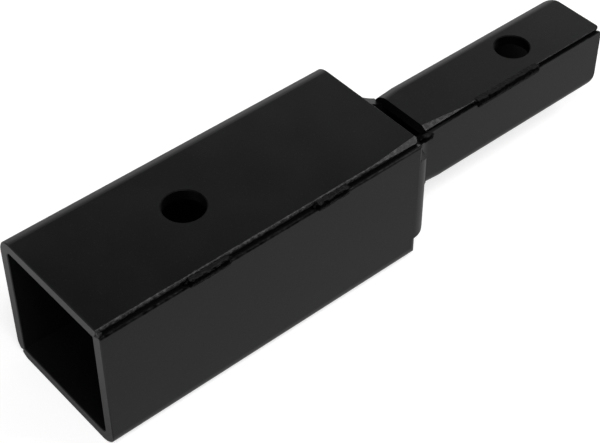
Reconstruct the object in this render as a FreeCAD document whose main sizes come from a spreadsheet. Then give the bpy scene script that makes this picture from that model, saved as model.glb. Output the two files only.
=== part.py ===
"""Hitch receiver adapter: a 2 in square socket stepping down to a 1-1/4 in square shank.

Two folded halves, alike but for a half turn about the long axis, meet along two seams. Each half
has one web and one flange. The web is joggled inward at the neck; the flanges stop short there and
leave a relief slot above and below, which runs down into the web's seam side. Stitch beads and
short tacks hold the halves.

Frame: +Y along the shank, +Z up, millimetres. The origin is on the axis at the shank's pin hole.
"""
import FreeCAD, Part
import Sketcher
import math
import os
import re

os.makedirs("parts", exist_ok=True)
doc = FreeCAD.newDocument("adapter")
sheet = doc.addObject("Spreadsheet::Sheet", "sizes")

SIZES = [
    ("plate", "4.76", "3/16 in plate"),
    ("socket_width", "52.14", "inside width of the socket, for a 2 in bar with room to slide"),
    ("socket_bend", "2.3", "inside radius of the socket's folds"),
    ("socket_depth", "147.55", "mouth to the flanges' rear edges"),
    ("shank_width", "31.75", "1-1/4 in square shank"),
    ("shank_bend", "1.3", "inside radius of the shank's folds"),
    ("slot_bend", "2.6", "they start wider at the slot"),
    ("fold_run", "8", "length over which they close to their radius"),
    ("slot_rest", "0.01872134", "the relief slot reaches this far past the joggle"),
    ("shank_length", "99.8", "slot to the shank's end"),
    ("receiver_pin", "16.7", "hole for a 5/8 in pin"),
    ("receiver_setback", "58.65", "mouth to the receiver pin hole"),
    ("shank_pin", "15", "hole for a 1/2 in pin"),
    ("shank_setback", "37.5", "shank's end to its pin hole"),
    ("joggle_bend", "10", "outside radius of both bends of the web's joggle"),
    ("joggle_angle", "60", "slope of the joggle, in degrees"),
    ("joggle_start", "2", "the joggle's first bend starts this far before the rear edge"),
    ("joggle_lap", "8", "straight run of the joggled strip before its first bend"),
    ("seam_inset", "9.8", "joggled strip's seam edge in from the socket's face"),
    ("seam_root", "1.7", "shank web's edge at the slot, in from the shank's face"),
    ("fold_inset", "11.8", "joggled strip's folded edge in from the socket's face"),
    ("fold_root", "3.9", "and in from the shank's face where it meets the shank"),
    ("fold_flat", "3.2", "it runs level this far past the slot's front"),
    ("strip_corner", "3", "and turns down with this radius"),
    ("rear_corner", "3", "plate corners at the slot's front, in plan"),
    ("web_corner", "1.4", "the web's corner there, above the joggled strip"),
    ("end_corner", "2", "free corners of the shank's end"),
    ("fold_corner", "3.2", "its folded corners"),
    ("flange_back", "1.85", "socket seam: flange edge back from the corner"),
    ("web_back", "1.5", "socket seam: web edge back from the corner"),
    ("groove", "3.05", "socket seam: depth of the open groove"),
    ("lip", "0.9", "rounding of the socket seam's edges"),
    ("shank_flange_back", "1.2", "shank seam: flange edge back from the corner"),
    ("shank_web_back", "0.9", "shank seam: web edge back from the corner"),
    ("shank_groove", "2.6", "shank seam: depth of the open groove"),
    ("shank_lip", "0.25", "rounding of the shank seam's edges"),
    ("ease_length", "35", "the flange edge is eased over this length, growing toward the slot"),
    ("ease_width", "2.9", "its width at the slot"),
    ("ease_depth", "1.8", "its depth at the slot"),
    ("shank_ease_length", "24", "the same behind the slot"),
    ("shank_ease_width", "3.2", "its width there"),
    ("shank_ease_depth", "1.6", "its depth there"),
    ("mouth_inner", "0.3", "bevel of the mouth's inner edge"),
    ("mouth_outer", "0.4", "bevel of the mouth's outer edge"),
    ("cut_edge", "0.4", "bevel of the other cut edges"),
    ("hole_edge", "0.35", "bevel of the pin holes' rims"),
    ("stitch_radius", "2.1", "socket stitch beads"),
    ("stitch_in_x", "1.36", "bead's axis inward from the web's face"),
    ("stitch_in_z", "2.16", "bead's axis inward from the flange's face"),
    ("first_stitch", "36", "mouth to the first stitch"),
    ("first_length", "21", "its length"),
    ("second_stitch", "94", "mouth to the second stitch"),
    ("second_length", "18", "its length"),
    ("shank_bead_radius", "2.3", "shank stitch bead"),
    ("shank_bead_in_x", "1.6", "its axis inward from the web's face"),
    ("shank_bead_in_z", "1.9", "its axis inward from the flange's face"),
    ("shank_stitch", "25", "slot to the shank's stitch"),
    ("shank_stitch_length", "39", "its length"),
    ("tack_length", "2.4", "mouth tacks"),
    ("tack_radius", "1.9", "their radius before grinding"),
    ("tack_in", "2.7", "their axis inward from both faces"),
    ("upper_ground", "2.8", "upper tack: flat ground across the corner at the mouth"),
    ("upper_ground_end", "1.7", "and at the tack's far end"),
    ("lower_ground", "8.5", "lower tack: radius ground at the mouth"),
    ("lower_ground_end", "4", "and at the tack's far end"),
    ("lower_fade", "8", "run of the lower grinding"),
    ("bead_point", "0.35", "a bead's end radius as a share of its full radius"),
    ("neck_tack_radius", "1.9", "short bead in the neck's corner, on the joggled strip's edge"),
    ("neck_tack_in_x", "0.3", "its axis inward from the shank's web face"),
    ("neck_tack_in_z", "3.2", "its axis inward from the shank's flange face"),
    ("neck_tack_ahead", "4.5", "its start ahead of the shank"),
    ("neck_tack_length", "7.5", "its length"),
    ("past", "1", "cutting tools reach this far past a face"),
]
WORKED = [
    ("socket_half", "socket_width / 2"),
    ("box_half", "socket_width / 2 + plate"),
    ("shank_half", "shank_width / 2"),
    ("shank_in", "shank_width / 2 - plate"),
    ("end_y", "shank_setback"),
    ("shank_y", "shank_setback - shank_length"),
    ("step", "box_half - shank_half"),
    ("straight", "(step - 2 * joggle_bend * (1 - cos(joggle_angle))) / sin(joggle_angle)"),
    ("joggle_run", "2 * joggle_bend * sin(joggle_angle) + straight * cos(joggle_angle)"),
    ("slot_width", "joggle_run - joggle_start + slot_rest"),
    ("rear_y", "shank_setback - shank_length - slot_width"),
    ("mouth_y", "shank_setback - shank_length - slot_width - socket_depth"),
    ("bend_y", "rear_y - joggle_start"),
    ("set_y", "bend_y + joggle_run"),
    ("half_turn", "tan(joggle_angle / 2)"),
    ("strip_seam", "box_half - seam_inset"),
    ("strip_fold", "box_half - fold_inset"),
]

for row, (name, value, note) in enumerate(SIZES, 1):
    sheet.set("A%d" % row, name)
    sheet.set("B%d" % row, value)
    sheet.set("C%d" % row, note)
    sheet.setAlias("B%d" % row, name)
for row, (name, rule) in enumerate(WORKED, len(SIZES) + 1):
    sheet.set("A%d" % row, name)
    sheet.set("B%d" % row, "=" + rule)
    sheet.setAlias("B%d" % row, name)
doc.recompute()
NAMES = {entry[0] for entry in SIZES} | {entry[0] for entry in WORKED}


def tie(rule):
    """The rule with each size read from the sheet."""
    return re.sub(r"[a-z_]+", lambda m: "sizes." + m.group() if m.group() in NAMES else m.group(), rule)


def value(rule):
    return float(sheet.evalExpression(tie(rule)))


def bind(item, name, rule):
    item.setExpression(name, tie(rule))


def plane_of(body, role):
    return next(feature for feature in body.Origin.OriginFeatures if feature.Role == role)


def place_sketch(body, role, offset, name):
    """An empty sketch, `offset` along its plane's normal."""
    sketch = body.newObject("Sketcher::SketchObject", name)
    sketch.AttachmentSupport = [(plane_of(body, role), "")]
    sketch.MapMode = "FlatFace"
    bind(sketch, "AttachmentOffset.Base.z", offset)
    return sketch


def hold(sketch, geometry, end, key, across, up):
    """Pin one point of the sketch to the sizes."""
    for letter, kind, axis, rule in (("x", "DistanceX", -2, across), ("y", "DistanceY", -1, up)):
        number = value(rule)
        if abs(number) < 1e-9:
            sketch.addConstraint(Sketcher.Constraint("PointOnObject", geometry, end, axis))
            continue
        if number > 0:
            item = Sketcher.Constraint(kind, -1, 1, geometry, end, number)
            text = rule
        else:
            item = Sketcher.Constraint(kind, geometry, end, -1, 1, -number)
            text = "-(" + rule + ")"
        index = sketch.addConstraint(item)
        sketch.renameConstraint(index, letter + key)
        bind(sketch, "Constraints." + letter + key, text)


def outline(body, role, offset, name, corners):
    """A closed outline of straight runs; a corner's third entry is its rounding radius."""
    sketch = place_sketch(body, role, offset, name)
    spots = [FreeCAD.Vector(value(c[0]), value(c[1]), 0) for c in corners]
    radii = [value(c[2]) if len(c) > 2 else 0.0 for c in corners]
    count = len(corners)
    enter, leave, centres, turns = [], [], [], []
    for i, spot in enumerate(spots):
        back = (spots[i - 1] - spot).normalize()
        ahead = (spots[(i + 1) % count] - spot).normalize()
        angle = back.getAngle(ahead)
        reach = radii[i] / math.tan(angle / 2)
        enter.append(spot + back * reach)
        leave.append(spot + ahead * reach)
        middle = back + ahead
        if middle.Length > 1e-9:
            middle.normalize()
        centres.append(spot + middle * (radii[i] / math.sin(angle / 2)))
        turns.append(ahead.cross(back).z > 0)
    for i in range(count):
        sketch.addGeometry(Part.LineSegment(leave[i], enter[(i + 1) % count]), False)
    for i, corner in enumerate(corners):
        key = str(i + 1)
        before = (i - 1) % count
        if not radii[i]:
            sketch.addConstraint(Sketcher.Constraint("Coincident", before, 2, i, 1))
            hold(sketch, i, 1, key, corner[0], corner[1])
            continue
        start = enter[i] if turns[i] else leave[i]
        stop = leave[i] if turns[i] else enter[i]
        first = math.atan2(start.y - centres[i].y, start.x - centres[i].x)
        last = math.atan2(stop.y - centres[i].y, stop.x - centres[i].x)
        if last < first:
            last += 2 * math.pi
        circle = Part.Circle(centres[i], FreeCAD.Vector(0, 0, 1), radii[i])
        arc = sketch.addGeometry(Part.ArcOfCircle(circle, first, last), False)
        tip = sketch.addGeometry(Part.Point(spots[i]), True)
        ends = (1, 2) if turns[i] else (2, 1)
        hold(sketch, tip, 1, key, corner[0], corner[1])
        sketch.addConstraint(Sketcher.Constraint("PointOnObject", tip, 1, before))
        sketch.addConstraint(Sketcher.Constraint("PointOnObject", tip, 1, i))
        sketch.addConstraint(Sketcher.Constraint("Tangent", before, 2, arc, ends[0]))
        sketch.addConstraint(Sketcher.Constraint("Tangent", arc, ends[1], i, 1))
        index = sketch.addConstraint(Sketcher.Constraint("Radius", arc, radii[i]))
        sketch.renameConstraint(index, "r" + key)
        bind(sketch, "Constraints.r" + key, corner[2])
    return sketch


def disc(body, role, offset, name, across, up, diameter):
    sketch = place_sketch(body, role, offset, name)
    middle = FreeCAD.Vector(value(across), value(up), 0)
    sketch.addGeometry(Part.Circle(middle, FreeCAD.Vector(0, 0, 1), value(diameter) / 2), False)
    hold(sketch, 0, 3, "1", across, up)
    index = sketch.addConstraint(Sketcher.Constraint("Diameter", 0, value(diameter)))
    sketch.renameConstraint(index, "size")
    bind(sketch, "Constraints.size", diameter)
    return sketch


def pad(body, sketch, length, name):
    feature = body.newObject("PartDesign::Pad", name)
    feature.Profile = sketch
    bind(feature, "Length", length)
    feature.Refine = True
    return feature


def cut_through(body, sketch, reach, name, both_ways=True):
    """A pocket, cut to both sides of its sketch or against its normal, checked to remove something."""
    doc.recompute()
    before = body.Shape.Volume
    feature = body.newObject("PartDesign::Pocket", name)
    feature.Profile = sketch
    feature.Midplane = both_ways
    bind(feature, "Length", reach)
    feature.Refine = True
    doc.recompute()
    if body.Shape.Volume > before - 1e-3:
        raise RuntimeError(name + " removed nothing")
    return feature


def loft(body, kind, sketches, name):
    feature = body.newObject("PartDesign::" + kind, name)
    feature.Profile = sketches[0]
    feature.Sections = sketches[1:]
    feature.Ruled = True
    feature.Refine = True
    return feature


def bevel(body, name, size, chosen):
    """Bevel the edges of the body that `chosen` accepts, judged at three points of each."""
    doc.recompute()
    tip = body.Tip
    picked = []
    for i, edge in enumerate(tip.Shape.Edges, 1):
        low, high = edge.ParameterRange
        points = [edge.valueAt(low + (high - low) * part) for part in (0.02, 0.5, 0.98)]
        if edge.Length > value(size) * 1.2 and all(chosen(point) for point in points):
            picked.append("Edge%d" % i)
    feature = body.newObject("PartDesign::Chamfer", name)
    feature.Base = (tip, picked)
    bind(feature, "Size", size)
    feature.Refine = True
    doc.recompute()
    if not picked or not feature.Shape.isValid() or "Invalid" in feature.State:
        raise RuntimeError("no bevel at " + name)
    return feature


def near(a, b):
    return abs(a - b) < 2e-3


def bevel_outside(body, name, size, station, outer, bend):
    """Bevel one half's outer edges on the end face at `station`."""
    half, reach = value(outer), value(bend + " + plate")
    bevel(body, name, size, lambda p: near(p.y, value(station))
          and (near(p.x, half) or near(p.z, -half)
               or near(math.hypot(p.x - half + reach, p.z + half - reach), reach)))


def end_corner(body, role, name, level, edge, out, end, size, tilt=0):
    """What rounding one corner of an end takes off; `out` is the sign of outward at the edge."""
    into = "-" if out == "+" else "+"
    points = [
        (edge + into + size + into + "past", end),
        (edge, end, size),
        (edge, end + " - " + size + " - past"),
        (edge + out + "2 * past", end + " - " + size + " - past"),
        (edge + out + "2 * past", end + " + past"),
        (edge + into + size + into + "past", end + " + past"),
    ]
    if role == "YZ_Plane":
        points = [(point[1], point[0]) + point[2:] for point in points]
    sketch = outline(body, role, level, name, points)
    if tilt:
        sketch.AttachmentOffset = FreeCAD.Placement(
            FreeCAD.Vector(0, 0, 0), FreeCAD.Rotation(FreeCAD.Vector(1, 0, 0), tilt))
    return sketch


def angle_section(outer, inner, bend, flange_back, web_back, groove, lip):
    """Section of one half, web on the right and flange at the bottom, mitred to meet its twin."""
    return [
        ("-(%s - %s)" % (outer, flange_back), "-" + outer, lip),
        (outer, "-" + outer, "%s + plate" % bend),
        (outer, "%s - %s" % (outer, web_back), lip),
        ("%s - %s" % (outer, groove), "%s - %s" % (outer, groove)),
        (inner, inner),
        (inner, "-" + inner, bend),
        ("-" + inner, "-" + inner),
        ("-(%s - %s)" % (outer, groove), "-(%s - %s)" % (outer, groove)),
    ]


def pressing(name):
    """One folded half, web on the right and flange at the bottom."""
    body = doc.addObject("PartDesign::Body", name)
    socket = outline(body, "XZ_Plane", "-rear_y", name + "_socket", angle_section(
        "box_half", "socket_half", "socket_bend", "flange_back", "web_back", "groove", "lip"))
    pad(body, socket, "socket_depth", name + "_socket_walls")
    bevel(body, name + "_mouth_inner", "mouth_inner", lambda p: near(p.y, value("mouth_y"))
           and max(abs(p.x), abs(p.z)) < value("socket_half") + 2e-3)
    bevel_outside(body, name + "_mouth_outer", "mouth_outer", "mouth_y", "box_half", "socket_bend")
    bevel_outside(body, name + "_slot_front", "cut_edge", "rear_y", "box_half", "socket_bend")

    seam_edge = "(flange_back - box_half)"
    for key, edge, out, level, size, reach in (
            ("seam", seam_edge, "-", "0", "rear_corner", "2 * box_half"),
            ("fold", "box_half", "+", "0", "rear_corner", "2 * box_half"),
            ("web", "box_half", "+", "box_half + past", "web_corner", "box_half + past")):
        corner = end_corner(body, "XY_Plane", name + "_" + key + "_corner", level, edge, out, "rear_y", size)
        cut_through(body, corner, reach, name + "_" + key + "_corner_cut", False)

    strip = outline(body, "XY_Plane", "-strip_fold", name + "_joggle", [
        ("box_half", "bend_y - joggle_lap"),
        ("box_half", "bend_y + joggle_bend * half_turn", "joggle_bend"),
        ("shank_half", "set_y - joggle_bend * half_turn", "joggle_bend"),
        ("shank_half", "shank_y"),
        ("shank_in", "shank_y"),
        ("shank_in", "set_y - (joggle_bend + plate) * half_turn", "joggle_bend + plate"),
        ("socket_half", "bend_y + (joggle_bend - plate) * half_turn", "joggle_bend - plate"),
        ("socket_half", "bend_y - joggle_lap"),
    ])
    pad(body, strip, "strip_fold + strip_seam", name + "_joggled_strip")
    fold_root = "(shank_half - fold_root)"
    slope = "(strip_fold - " + fold_root + ") / (slot_width - fold_flat)"
    under = outline(body, "YZ_Plane", "0", name + "_fold_edge", [
        ("rear_y + past / 2", "-strip_fold - past"),
        ("rear_y + past / 2", "-strip_fold"),
        ("rear_y + fold_flat", "-strip_fold", "strip_corner"),
        ("shank_y + past", "-" + fold_root + " + past * " + slope),
        ("shank_y + past", "-strip_fold - past"),
    ])
    cut_through(body, under, "4 * box_half", name + "_fold_edge_cut")
    over = outline(body, "YZ_Plane", "0", name + "_seam_edge", [
        ("rear_y", "strip_seam"),
        ("rear_y + slot_width * 0.32", "strip_seam - (strip_seam - shank_in) * 0.35", "strip_corner"),
        ("rear_y + slot_width * 0.6", "strip_seam - (strip_seam - shank_in) * 0.74", "strip_corner"),
        ("rear_y + slot_width * 0.87", "shank_in", "strip_corner"),
        ("shank_y", "shank_in"),
        ("shank_y", "strip_seam + past"),
        ("rear_y", "strip_seam + past"),
    ])
    cut_through(body, over, "4 * box_half", name + "_seam_edge_cut")

    stations = [
        ("slot", "-shank_y", "slot_bend"),
        ("begin", "-(shank_y + fold_run)", "shank_bend"),
        ("end", "-end_y", "shank_bend"),
    ]
    cuts = {}
    for key, offset, bend in stations:
        cuts[key] = outline(body, "XZ_Plane", offset, name + "_" + key, angle_section(
            "shank_half", "shank_in", bend, "shank_flange_back", "shank_web_back",
            "shank_groove", "shank_lip"))
    loft(body, "AdditiveLoft", [cuts["slot"], cuts["begin"]], name + "_shank_start")
    pad(body, cuts["end"], "shank_length - fold_run", name + "_shank_walls")

    for key, back, depth, run, edge, tip, lip_back in (
            ("socket_ease", "ease_width", "ease_depth", "-ease_length", "box_half", "rear_y", "flange_back"),
            ("shank_ease", "shank_ease_width", "shank_ease_depth", "shank_ease_length", "shank_half",
             "shank_y", "shank_flange_back")):
        lip_x = "(" + edge + " - " + lip_back + ")"
        wedge = []
        for part, along, size in (("wide", "-0.04", "1.04"), ("thin", "0.97", "0.03")):
            station = "-(" + tip + " + " + along + " * (" + run + "))"
            wedge.append(outline(body, "XZ_Plane", station, name + "_" + key + "_" + part, [
                ("-" + lip_x + " + " + back + " * " + size, "-" + edge),
                ("-" + lip_x, "-" + edge + " + " + depth + " * " + size),
                ("-" + lip_x + " - past", "-" + edge + " + " + depth + " * " + size),
                ("-" + lip_x + " - past", "-" + edge + " - past"),
                ("-" + lip_x + " + " + back + " * " + size, "-" + edge + " - past"),
            ]))
        loft(body, "SubtractiveLoft", wedge, name + "_" + key)
    wedge = []
    for part, along, size in (("wide", "-0.04", "1.04"), ("thin", "0.97", "0.03")):
        low = "shank_half - shank_web_back - (seam_root - shank_web_back) * " + size
        wedge.append(outline(body, "XZ_Plane", "-(shank_y + " + along + " * shank_ease_length)",
                             name + "_web_ease_" + part, [
            ("shank_half - shank_groove", "shank_half - shank_web_back"),
            ("shank_half - shank_groove / 2", low),
            ("shank_half + past", low),
            ("shank_half + past", "shank_half - shank_web_back + past"),
            ("shank_half - shank_groove", "shank_half - shank_web_back + past"),
        ]))
    loft(body, "SubtractiveLoft", wedge, name + "_web_ease")

    crown = "((shank_half - shank_bend - plate) * sqrt(2) + shank_bend + plate)"
    for key, role, edge, out, size, tilt in (
            ("flange", "XY_Plane", "(shank_flange_back - shank_half)", "-", "end_corner", 0),
            ("web", "YZ_Plane", "(shank_half - shank_web_back)", "+", "end_corner", 0),
            ("fold", "YZ_Plane", "(-" + crown + ")", "-", "fold_corner", -45)):
        corner = end_corner(body, role, name + "_end_" + key, "0", edge, out, "end_y", size, tilt)
        cut_through(body, corner, "4 * box_half", name + "_end_" + key + "_cut")

    for key, centre, size in (("receiver", "mouth_y + receiver_setback", "receiver_pin"),
                              ("shank", "0", "shank_pin")):
        hole = disc(body, "XY_Plane", "0", name + "_" + key + "_pin", "0", centre, size)
        cut_through(body, hole, "4 * box_half", name + "_" + key + "_pin_hole")
    bevel(body, name + "_receiver_rim", "hole_edge", lambda p: near(p.z, -value("box_half"))
           and near(math.hypot(p.x, p.y - value("mouth_y + receiver_setback")), value("receiver_pin / 2")))
    bevel(body, name + "_shank_rim", "hole_edge", lambda p: near(p.z, -value("shank_half"))
           and near(math.hypot(p.x, p.y), value("shank_pin / 2")))
    return body


def grinding_tool(name, side, rounded, size, size_end, run):
    """What the grinder takes off one corner of the mouth; `side` is 1 for upper, -1 for lower."""
    body = doc.addObject("PartDesign::Body", name)
    sign = "" if side > 0 else "-"
    faces = []
    for key, part, offset in (("front", "-past / " + run, "past - mouth_y"),
                              ("back", "1", "-(mouth_y + " + run + ")")):
        reach = "(%s + (%s - %s) * (%s))" % (size, size_end, size, part)
        far = "(box_half - %s - past)" % reach
        if rounded:
            points = [("(box_half + past)", "(box_half + past)"), ("(box_half + past)", far),
                      ("box_half", far), ("box_half", "box_half", reach),
                      (far, "box_half"), (far, "(box_half + past)")]
        else:
            points = [("(box_half + past)", "(box_half + past)"), ("(box_half + past)", far),
                      (far, "(box_half + past)")]
        points = [(sign + c[0], sign + c[1]) + tuple(c[2:]) for c in points]
        faces.append(outline(body, "XZ_Plane", offset, name + "_" + key, points))
    loft(body, "AdditiveLoft", faces, name + "_loft")
    doc.recompute()
    return body


def primitive(kind, name, rules):
    item = doc.addObject(kind, name)
    for key, rule in rules.items():
        bind(item, key, rule)
    return item


def cut_part(name, base, tools):
    item = doc.addObject("Part::Cut", name)
    item.Base = base
    item.Tool = tools
    item.Label = name
    return item


def group(name, items):
    item = doc.addObject("Part::Compound", name)
    item.Links = items
    return item


def run_of_weld(name, side, in_x, in_z, half, radius, start, length):
    """A round-ended bead along a seam, seated in the groove and standing a little proud of it."""
    sign = "" if side > 0 else "-"
    middle = {"Placement.Base.x": sign + "(%s - %s)" % (half, in_x),
              "Placement.Base.z": sign + "(%s - %s)" % (half, in_z)}
    rod = primitive("Part::Cylinder", name + "_rod", {
        "Radius": radius, "Height": "%s - 2 * %s" % (length, radius),
        "Placement.Base.y": "%s + %s" % (start, radius), **middle})
    turn(rod, -90)
    first = primitive("Part::Cone", name + "_first", {
        "Radius1": radius, "Radius2": radius + " * bead_point", "Height": radius,
        "Placement.Base.y": "%s + %s" % (start, radius), **middle})
    turn(first, 90)
    last = primitive("Part::Cone", name + "_last", {
        "Radius1": radius, "Radius2": radius + " * bead_point", "Height": radius,
        "Placement.Base.y": "%s + %s - %s" % (start, length, radius), **middle})
    turn(last, -90)
    whole = doc.addObject("Part::MultiFuse", name + "_whole")
    whole.Shapes = [rod, first, last]
    return whole


def turn(item, degrees):
    """Turn about X, so that a round solid's length lies along the seam."""
    spin = FreeCAD.Rotation(FreeCAD.Vector(1, 0, 0), degrees)
    item.Placement = FreeCAD.Placement(item.Placement.Base, spin)


left_pressing = pressing("left_pressing")
left_pressing.Placement = FreeCAD.Placement(
    FreeCAD.Vector(0, 0, 0), FreeCAD.Rotation(FreeCAD.Vector(0, 1, 0), 180))
right_pressing = pressing("right_pressing")
upper_tool = grinding_tool("upper_grinding", 1, False, "upper_ground", "upper_ground_end", "tack_length")
lower_tool = grinding_tool("lower_grinding", -1, True, "lower_ground", "lower_ground_end", "lower_fade")
grinding = group("grinding", [upper_tool, lower_tool])
doc.recompute()

left_half = cut_part("left_half", left_pressing, grinding)
right_half = cut_part("right_half", right_pressing, grinding)
ahead = primitive("Part::Box", "ahead_of_mouth", {
    "Length": "4 * box_half", "Width": "2 * box_half", "Height": "4 * box_half",
    "Placement.Base.x": "-2 * box_half", "Placement.Base.y": "mouth_y + mouth_outer - 2 * box_half",
    "Placement.Base.z": "-2 * box_half"})
trimming = group("trimming", [ahead, grinding])
nodes = [left_half, right_half]


def seated(name, bead):
    """The bead less both halves, so that it lies on them face to face."""
    nodes.append(cut_part(name, cut_part(name + "_on_left", bead, left_half), right_half))


for word, side in (("upper", 1), ("lower", -1)):
    tack = run_of_weld(word + "_mouth_tack", side, "tack_in", "tack_in", "box_half", "tack_radius",
                       "mouth_y - 2 * tack_radius", "tack_length + 2 * tack_radius")
    seated(word + "_mouth_tack", cut_part(word + "_mouth_tack_trimmed", tack, trimming))
    for key, start, length in (("front", "first_stitch", "first_length"),
                               ("rear", "second_stitch", "second_length")):
        name = word + "_" + key + "_stitch"
        seated(name, run_of_weld(name, side, "stitch_in_x", "stitch_in_z", "box_half", "stitch_radius",
                                 "mouth_y + " + start, length))
    name = word + "_shank_stitch"
    seated(name, run_of_weld(name, side, "shank_bead_in_x", "shank_bead_in_z", "shank_half",
                             "shank_bead_radius", "shank_y + shank_stitch", "shank_stitch_length"))
    name = word + "_neck_tack"
    seated(name, run_of_weld(name, side, "neck_tack_in_x", "neck_tack_in_z", "shank_half",
                             "neck_tack_radius", "shank_y - neck_tack_ahead", "neck_tack_length"))
doc.recompute()

for item in doc.Objects:
    if "Invalid" in item.State or "Error" in item.State:
        raise RuntimeError(item.Name + " is " + ", ".join(item.State))
for node in nodes:
    shape = node.Shape
    if shape.isNull() or not shape.isValid() or len(shape.Solids) != 1:
        raise RuntimeError(node.Label + " isn't one valid solid")
    shape.exportStep("parts/" + node.Label + ".step")
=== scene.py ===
import bpy
import math
from mathutils import Matrix, Vector

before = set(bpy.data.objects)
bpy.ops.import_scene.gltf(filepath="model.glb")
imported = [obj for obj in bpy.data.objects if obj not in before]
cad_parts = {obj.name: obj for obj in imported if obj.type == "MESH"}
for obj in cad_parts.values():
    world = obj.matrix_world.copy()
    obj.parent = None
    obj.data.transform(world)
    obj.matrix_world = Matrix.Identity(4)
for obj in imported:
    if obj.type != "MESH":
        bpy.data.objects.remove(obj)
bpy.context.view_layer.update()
scene = bpy.context.scene
scene.view_settings.view_transform = "Standard"

# the part in metres: stations along Y, half widths, and each pin hole's station and radius
MOUTH = -0.22805
SLOT = -0.0714
BOX = 0.03083
SHANK = 0.015875
PIN_HOLES = ((0.0, 0.0075), (-0.1694, 0.00835))

# the photograph's camera: its place in metres, and its focal length and middle in pixels
AZIMUTH, ELEVATION, ROLL = math.radians(49.063), math.radians(44.712), math.radians(0.3035)
STAND = (0.33845, -0.40177, 0.42633)
WIDTH, HEIGHT = 600, 443
FOCAL = 1590.848
MIDDLE = (313.124, 223.149)

# powder coat: each noise's scale, detail and roughness, and the colours of dust, which also lightens the
# seam's lip as a painted highlight, and of painted shade
GRIT = (1500, 3, 0.65)
PEEL = (420, 2, 0.5)
SPECKS = (1300, 1, 0.4)
CLOUDS = (38, 4, 0.55)
LIP_MOTTLE = (700, 3, 0.7)
RAGGED = (500, 2, 0.5)
SPECK_RANGE = (0.64, 0.8)
CLOUD_RANGE = (0.3, 0.7)
LIP_HIGHLIGHT_RANGE = (0.42, 0.66)
DUST_AND_LIP_HIGHLIGHT = (0.06, 0.06, 0.06)
DUST_SHARE = 0.2
LIP_HIGHLIGHT_SHARE = 0.75
PAINTED_SHADE_COLOUR = (0.0008, 0.0008, 0.0008)
SPECULAR = 0.33
BUMP = 0.35

# seams: how far in from the corner each mark reaches, in metres, and how strong it is; the flange's lip gets
# a painted highlight, the web's edge under it and the pin holes get painted shade
LIP_REACH = (0.0052, 0.0044)
LIP_TILT = (0.08, 0.3)
LIP_HEIGHT = 6.0
LIP_ROUGH = 0.12
SEAM_SHADE_REACH = (0.0036, 0.0028)
SEAM_SHADE_ROUGH = 0.3
SEAM_SHADE_RAGGED = 0.0008
SEAM_SHADE_SHANK = 0.0013
SEAM_SHADE_FADE = (-0.13, -0.085, 0.97, 0.55)
SEAM_SHADE_SHANK_MORE = 0.35
RIM_REACH = (0.0005, 0.0003)
PIN_HOLE_SHADE = 0.75
BEAD_SHADE_FLANK = (0.93, 0.65)
BEAD_SHADE_TOP = 0.52

# floor, sky and lamps: the floor's share in reflections grows ahead of the mouth; greys at stops
FLOOR_GREY = 0.5
FLOOR_GLOW = 0.7
FLOOR_DROP = 0.0001
NEAR_MOUTH = (MOUTH - 0.005, MOUTH - 0.03, 0.08, 0.4)
THROUGH_GLASS = 0.5
SKY = ((0.0, 1.1), (0.36, 1.1), (0.69, 0.065), (1.0, 0.04))
SIDE = ((0.0, 0.45), (0.45, 0.55), (0.6, 0.66), (0.8, 1.0))
SIDE_DIRECTION = (-0.5, 0.866, 0)
LAMP_TARGET = (0, -0.1, 0)
LAMP_DISTANCE = 1.5
LAMP_SIZE = 0.6

back = Vector((math.sin(AZIMUTH) * math.cos(ELEVATION), -math.cos(AZIMUTH) * math.cos(ELEVATION),
               math.sin(ELEVATION)))
right = Vector((0, 0, 1)).cross(back).normalized()
up = back.cross(right)
across = right * math.cos(ROLL) + up * math.sin(ROLL)
upward = up * math.cos(ROLL) - right * math.sin(ROLL)
camera = bpy.data.objects.new("camera", bpy.data.cameras.new("camera"))
scene.collection.objects.link(camera)
turn = Matrix((across, upward, back)).transposed().to_4x4()
camera.matrix_world = Matrix.Translation(STAND) @ turn
camera.data.lens = FOCAL / WIDTH * camera.data.sensor_width
camera.data.shift_x = (WIDTH / 2 - MIDDLE[0]) / WIDTH
camera.data.shift_y = (MIDDLE[1] - HEIGHT / 2) / WIDTH
camera.data.clip_start = 0.01
camera.data.clip_end = 20
scene.camera = camera


def node(tree, kind, values=None, **settings):
    """A node with its settings; a value is a number, a colour or the socket that feeds it."""
    made = tree.nodes.new(kind)
    for name, value in settings.items():
        setattr(made, name, value)
    for name, value in (values or {}).items():
        if isinstance(value, bpy.types.NodeSocket):
            tree.links.new(value, made.inputs[name])
        else:
            made.inputs[name].default_value = value
    return made


def maths(tree, operation, first, second=0.0, third=0.0):
    return node(tree, "ShaderNodeMath", {0: first, 1: second, 2: third}, operation=operation).outputs[0]


def fade(tree, value, low, high, first=0.0, last=1.0):
    """`first` up to `low`, `last` from `high`, straight between."""
    return node(tree, "ShaderNodeMapRange", {"Value": value, "From Min": low, "From Max": high,
                                             "To Min": first, "To Max": last}).outputs["Result"]


def step(tree, value, low, high):
    """0 below `low`, 1 above `high`, smooth between; downward where low is above high."""
    return node(tree, "ShaderNodeMapRange", {"Value": value, "From Min": low, "From Max": high},
                interpolation_type="SMOOTHSTEP").outputs["Result"]


def noise(tree, scale, detail, roughness):
    place = node(tree, "ShaderNodeTexCoord").outputs["Object"]
    return node(tree, "ShaderNodeTexNoise", {"Vector": place, "Scale": scale, "Detail": detail,
                                             "Roughness": roughness}).outputs["Fac"]


def mix(tree, factor, low, high):
    """A colour between `low`, a colour or a socket, and the colour `high`."""
    if not isinstance(low, bpy.types.NodeSocket):
        low = (*low, 1)
    return node(tree, "ShaderNodeMix", {"Factor": factor, "A": low, "B": (*high, 1)},
                data_type="RGBA").outputs["Result"]


def new_group(name, *titles):
    """A shader group that puts out one number for each title, and its output node."""
    tree = bpy.data.node_groups.new(name, "ShaderNodeTree")
    for title in titles:
        tree.interface.new_socket(title, in_out="OUTPUT", socket_type="NodeSocketFloat")
    return tree, tree.nodes.new("NodeGroupOutput")


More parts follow.
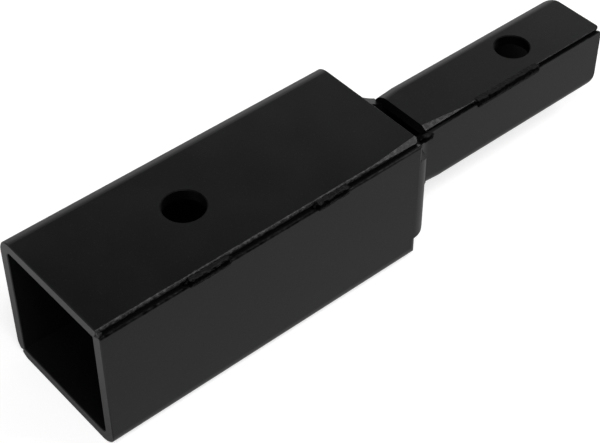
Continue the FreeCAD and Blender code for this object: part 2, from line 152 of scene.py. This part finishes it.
def place_and_lean(tree):
    """Where a point of the surface is, and which way it faces, each as X, Y and Z."""
    here = node(tree, "ShaderNodeTexCoord").outputs
    at = node(tree, "ShaderNodeSeparateXYZ", {"Vector": here["Object"]}).outputs
    lean = node(tree, "ShaderNodeSeparateXYZ", {"Vector": here["Normal"]}).outputs
    return at, lean


def grain_group():
    """Powder coat: orange peel, fine grit, pale specks and slow cloudiness, sized in metres."""
    tree, outside = new_group("powder_grain", "Height", "Speck", "Cloud")
    tree.interface.new_socket("Coarse", in_out="INPUT", socket_type="NodeSocketFloat").default_value = 1.0
    coarse = tree.nodes.new("NodeGroupInput").outputs["Coarse"]
    grit = maths(tree, "MULTIPLY", noise(tree, *GRIT), coarse)
    height = maths(tree, "ADD", grit, noise(tree, *PEEL))
    tree.links.new(height, outside.inputs["Height"])
    tree.links.new(fade(tree, noise(tree, *SPECKS), *SPECK_RANGE), outside.inputs["Speck"])
    tree.links.new(noise(tree, *CLOUDS), outside.inputs["Cloud"])
    return tree


def pin_rim(tree, at, x, pin):
    """1 on a pin hole's wall and on the bevel of its rim, 0 around it."""
    station, radius = pin
    y = maths(tree, "SUBTRACT", at["Y"], station)
    square = maths(tree, "ADD", maths(tree, "MULTIPLY", x, x), maths(tree, "MULTIPLY", y, y))
    return step(tree, maths(tree, "SQRT", square), *(radius + reach for reach in RIM_REACH))


def seam_group():
    """Edges of the halves: the flange's lip at a seam, and painted shade on the web's edge under it and in
    the pin holes.
    """
    tree, outside = new_group("seam_edges", "Lip", "Painted shade")
    at, lean = place_and_lean(tree)
    x, z = maths(tree, "ABSOLUTE", at["X"]), maths(tree, "ABSOLUTE", at["Z"])
    seam_corner = maths(tree, "GREATER_THAN", maths(tree, "MULTIPLY", at["X"], at["Z"]), 0.0)
    on_shank = maths(tree, "GREATER_THAN", at["Y"], SLOT)
    half = maths(tree, "MULTIPLY_ADD", on_shank, SHANK - BOX, BOX)
    inward = maths(tree, "SUBTRACT", maths(tree, "MULTIPLY", half, 2.0), maths(tree, "ADD", x, z))
    flange = maths(tree, "GREATER_THAN", z, x)

    close = maths(tree, "MULTIPLY", step(tree, inward, *LIP_REACH), seam_corner)
    tilt = step(tree, maths(tree, "ABSOLUTE", lean["X"]), *LIP_TILT)
    lip = maths(tree, "MULTIPLY", maths(tree, "MULTIPLY", close, flange), tilt)

    # painted shade along the web's edge under the lip: ragged, weaker toward the socket's rear, stronger
    # again on the shank
    ragged = maths(tree, "MULTIPLY_ADD", noise(tree, *RAGGED), SEAM_SHADE_RAGGED, inward)
    depth = maths(tree, "MULTIPLY_ADD", on_shank, SEAM_SHADE_SHANK, ragged)
    strength = fade(tree, at["Y"], *SEAM_SHADE_FADE)
    strength = maths(tree, "MULTIPLY_ADD", on_shank, SEAM_SHADE_SHANK_MORE, strength)
    web = maths(tree, "MULTIPLY", seam_corner, maths(tree, "SUBTRACT", 1.0, flange))
    seam_shade = maths(tree, "MULTIPLY", step(tree, depth, *SEAM_SHADE_REACH), strength)
    seam_shade = maths(tree, "MULTIPLY", seam_shade, web)

    # painted shade on the pin holes' walls and on the bevels of their rims
    rims = maths(tree, "MAXIMUM", *(pin_rim(tree, at, x, pin) for pin in PIN_HOLES))
    seam_shade = maths(tree, "MAXIMUM", seam_shade, maths(tree, "MULTIPLY", rims, PIN_HOLE_SHADE))
    tree.links.new(lip, outside.inputs["Lip"])
    tree.links.new(seam_shade, outside.inputs["Painted shade"])
    return tree


def bead_group():
    """Painted shade on a bead: about half strength on its top, full on its flanks, where it dips under
    toward the web.
    """
    tree, outside = new_group("bead_painted_shade", "Bead shade")
    at, lean = place_and_lean(tree)
    outward = maths(tree, "MULTIPLY", lean["Z"], maths(tree, "SIGN", at["Z"]))
    bead_shade = maths(tree, "MULTIPLY_ADD", step(tree, outward, *BEAD_SHADE_FLANK), 1 - BEAD_SHADE_TOP, BEAD_SHADE_TOP)
    tree.links.new(bead_shade, outside.inputs["Bead shade"])
    return tree


GRAIN = grain_group()
SEAM = seam_group()
BEAD = bead_group()


def coat(name, dark, light, coarse, depth, rough_low, rough_high, seam=False, bead=False):
    """Satin black powder coat. `coarse` is the grit's share of the bump, `depth` its height in metres."""
    material = bpy.data.materials.new(name)
    material.use_nodes = True
    tree = material.node_tree
    shader = tree.nodes["Principled BSDF"]
    grain = node(tree, "ShaderNodeGroup", node_tree=GRAIN)
    grain.inputs["Coarse"].default_value = coarse
    colour = mix(tree, fade(tree, grain.outputs["Cloud"], *CLOUD_RANGE), dark, light)
    gloss = fade(tree, grain.outputs["Cloud"], *CLOUD_RANGE, rough_low, rough_high)
    specks_and_highlight = maths(tree, "MULTIPLY", grain.outputs["Speck"], DUST_SHARE)
    height = grain.outputs["Height"]
    # painted shade: where this mask is 1, the colour goes to near black and the surface turns metallic, so
    # it shows almost no reflection
    painted_shade = 0.0
    if seam:
        edges = node(tree, "ShaderNodeGroup", node_tree=SEAM).outputs
        # painted highlight: mottled lighter paint on the flange's lip at a seam; the same mottle also bumps
        # the lip
        lip_mottle = noise(tree, *LIP_MOTTLE)
        lip_highlight = maths(tree, "MULTIPLY", edges["Lip"], step(tree, lip_mottle, *LIP_HIGHLIGHT_RANGE))
        specks_and_highlight = maths(tree, "MAXIMUM", specks_and_highlight, maths(tree, "MULTIPLY", lip_highlight, LIP_HIGHLIGHT_SHARE))
        height = maths(tree, "MULTIPLY_ADD", maths(tree, "MULTIPLY", edges["Lip"], lip_mottle), LIP_HEIGHT, height)
        painted_shade = edges["Painted shade"]
        gloss = maths(tree, "MULTIPLY_ADD", edges["Lip"], LIP_ROUGH, gloss)
        gloss = maths(tree, "MULTIPLY_ADD", painted_shade, SEAM_SHADE_ROUGH, gloss)
    if bead:
        # painted shade on the bead, set by which way its surface faces
        painted_shade = node(tree, "ShaderNodeGroup", node_tree=BEAD).outputs["Bead shade"]
    # painted shade also drives Metallic, so reflections die away there too
    if seam or bead:
        tree.links.new(painted_shade, shader.inputs["Metallic"])
    paint = mix(tree, painted_shade, mix(tree, specks_and_highlight, colour, DUST_AND_LIP_HIGHLIGHT), PAINTED_SHADE_COLOUR)
    bump = node(tree, "ShaderNodeBump", {"Height": height, "Strength": BUMP, "Distance": depth})
    tree.links.new(paint, shader.inputs["Base Color"])
    tree.links.new(gloss, shader.inputs["Roughness"])
    tree.links.new(bump.outputs["Normal"], shader.inputs["Normal"])
    shader.inputs["Specular IOR Level"].default_value = SPECULAR
    return material


plate_coat = coat("plate_coat", (0.0028, 0.0028, 0.003), (0.0042, 0.0042, 0.0044),
                  0.5, 0.00004, 0.3, 0.34, seam=True)
bead_coat = coat("bead_coat", (0.005, 0.005, 0.005), (0.009, 0.009, 0.009),
                 1.0, 0.00025, 0.5, 0.62, bead=True)
ground_coat = coat("ground_coat", (0.008, 0.008, 0.008), (0.014, 0.014, 0.014),
                   1.0, 0.00025, 0.45, 0.6)


def ripple(bead):
    """Make a welded bead lumpy, inward only, so that it stays within its solid."""
    skin = bead.modifiers.new("skin", "REMESH")
    skin.mode = "VOXEL"
    skin.voxel_size = 0.00016
    skin.use_smooth_shade = True
    lumps = bpy.data.textures.get("weld_lumps") or bpy.data.textures.new("weld_lumps", "CLOUDS")
    lumps.noise_scale = 0.0016
    lumps.noise_depth = 2
    dent = bead.modifiers.new("lumps", "DISPLACE")
    dent.texture = lumps
    dent.texture_coords = "LOCAL"
    dent.strength = 0.0004
    dent.mid_level = 1.0


for name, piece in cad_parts.items():
    material = plate_coat if name.endswith("half") else bead_coat
    if name.endswith("mouth_tack"):
        material = ground_coat
    for index in range(len(piece.material_slots)):
        piece.material_slots[index].material = material
    if material is bead_coat:
        ripple(piece)

# floor: white to the camera, and brighter ahead of the mouth in what the part reflects
floor_material = bpy.data.materials.new("floor")
floor_material.use_nodes = True
tree = floor_material.node_tree
paint = tree.nodes["Principled BSDF"].inputs
ray = node(tree, "ShaderNodeLightPath").outputs
place = node(tree, "ShaderNodeTexCoord").outputs["Object"]
ahead = node(tree, "ShaderNodeSeparateXYZ", {"Vector": place}).outputs["Y"]
near_mouth = fade(tree, ahead, *NEAR_MOUTH)
share = maths(tree, "MULTIPLY_ADD", ray["Is Glossy Ray"], near_mouth, ray["Is Camera Ray"])
share = maths(tree, "MULTIPLY_ADD", ray["Is Transmission Ray"], THROUGH_GLASS, share)
paint["Base Color"].default_value = (FLOOR_GREY, FLOOR_GREY, FLOOR_GREY, 1)
paint["Roughness"].default_value = 0.9
paint["Specular IOR Level"].default_value = 0.1
paint["Emission Color"].default_value = (1, 1, 1, 1)
tree.links.new(maths(tree, "MULTIPLY", share, FLOOR_GLOW), paint["Emission Strength"])
bpy.ops.mesh.primitive_plane_add(size=12, location=(0, 0, -BOX - FLOOR_DROP))
floor = bpy.context.object
floor.name = "floor"
floor.data.materials.append(floor_material)


def ramp(tree, value, blend, stops):
    """A grey that follows `value` through four stops, each a place and a grey."""
    made = node(tree, "ShaderNodeValToRGB", {"Fac": value})
    made.color_ramp.interpolation = blend
    for index, (stop, grey) in enumerate(stops):
        point = made.color_ramp.elements[index] if index < 2 else made.color_ramp.elements.new(stop)
        point.position = stop
        point.color = (grey, grey, grey, 1)
    return made.outputs["Color"]


# studio: bright near the floor, dim overhead, brightest toward the far left; white to the camera
world = bpy.data.worlds.new("studio")
scene.world = world
world.use_nodes = True
tree = world.node_tree
place = node(tree, "ShaderNodeTexCoord").outputs["Generated"]
height = node(tree, "ShaderNodeSeparateXYZ", {"Vector": place}).outputs["Z"]
toward = node(tree, "ShaderNodeVectorMath", {0: place, 1: SIDE_DIRECTION}, operation="DOT_PRODUCT")
sky = ramp(tree, height, "EASE", SKY)
side = ramp(tree, toward.outputs["Value"], "LINEAR", SIDE)
studio = tree.nodes["Background"]
tree.links.new(sky, studio.inputs["Color"])
tree.links.new(side, studio.inputs["Strength"])
white = node(tree, "ShaderNodeBackground", {"Color": (1, 1, 1, 1), "Strength": 1})
seen = node(tree, "ShaderNodeLightPath").outputs["Is Camera Ray"]
shown = node(tree, "ShaderNodeMixShader", {"Fac": seen, 1: studio.outputs[0], 2: white.outputs[0]})
tree.links.new(shown.outputs[0], tree.nodes["World Output"].inputs["Surface"])


def lamp(name, direction, power):
    """A softbox, seen from the part's middle in the given direction."""
    light = bpy.data.lights.new(name, "AREA")
    light.shape = "RECTANGLE"
    light.size = light.size_y = LAMP_SIZE
    light.energy = power
    placed = bpy.data.objects.new(name, light)
    scene.collection.objects.link(placed)
    target = Vector(LAMP_TARGET)
    placed.location = target + Vector(direction).normalized() * LAMP_DISTANCE
    placed.rotation_euler = (target - placed.location).to_track_quat("-Z", "Y").to_euler()
    return placed


lamp("right_rear_softbox", (0.42, 0.46, 0.78), 7)
lamp("overhead_softbox", (0.45, -0.3, 1), 10)
fill = lamp("right_fill", (1, -0.1, 0.3), 4)
fill.visible_glossy = False
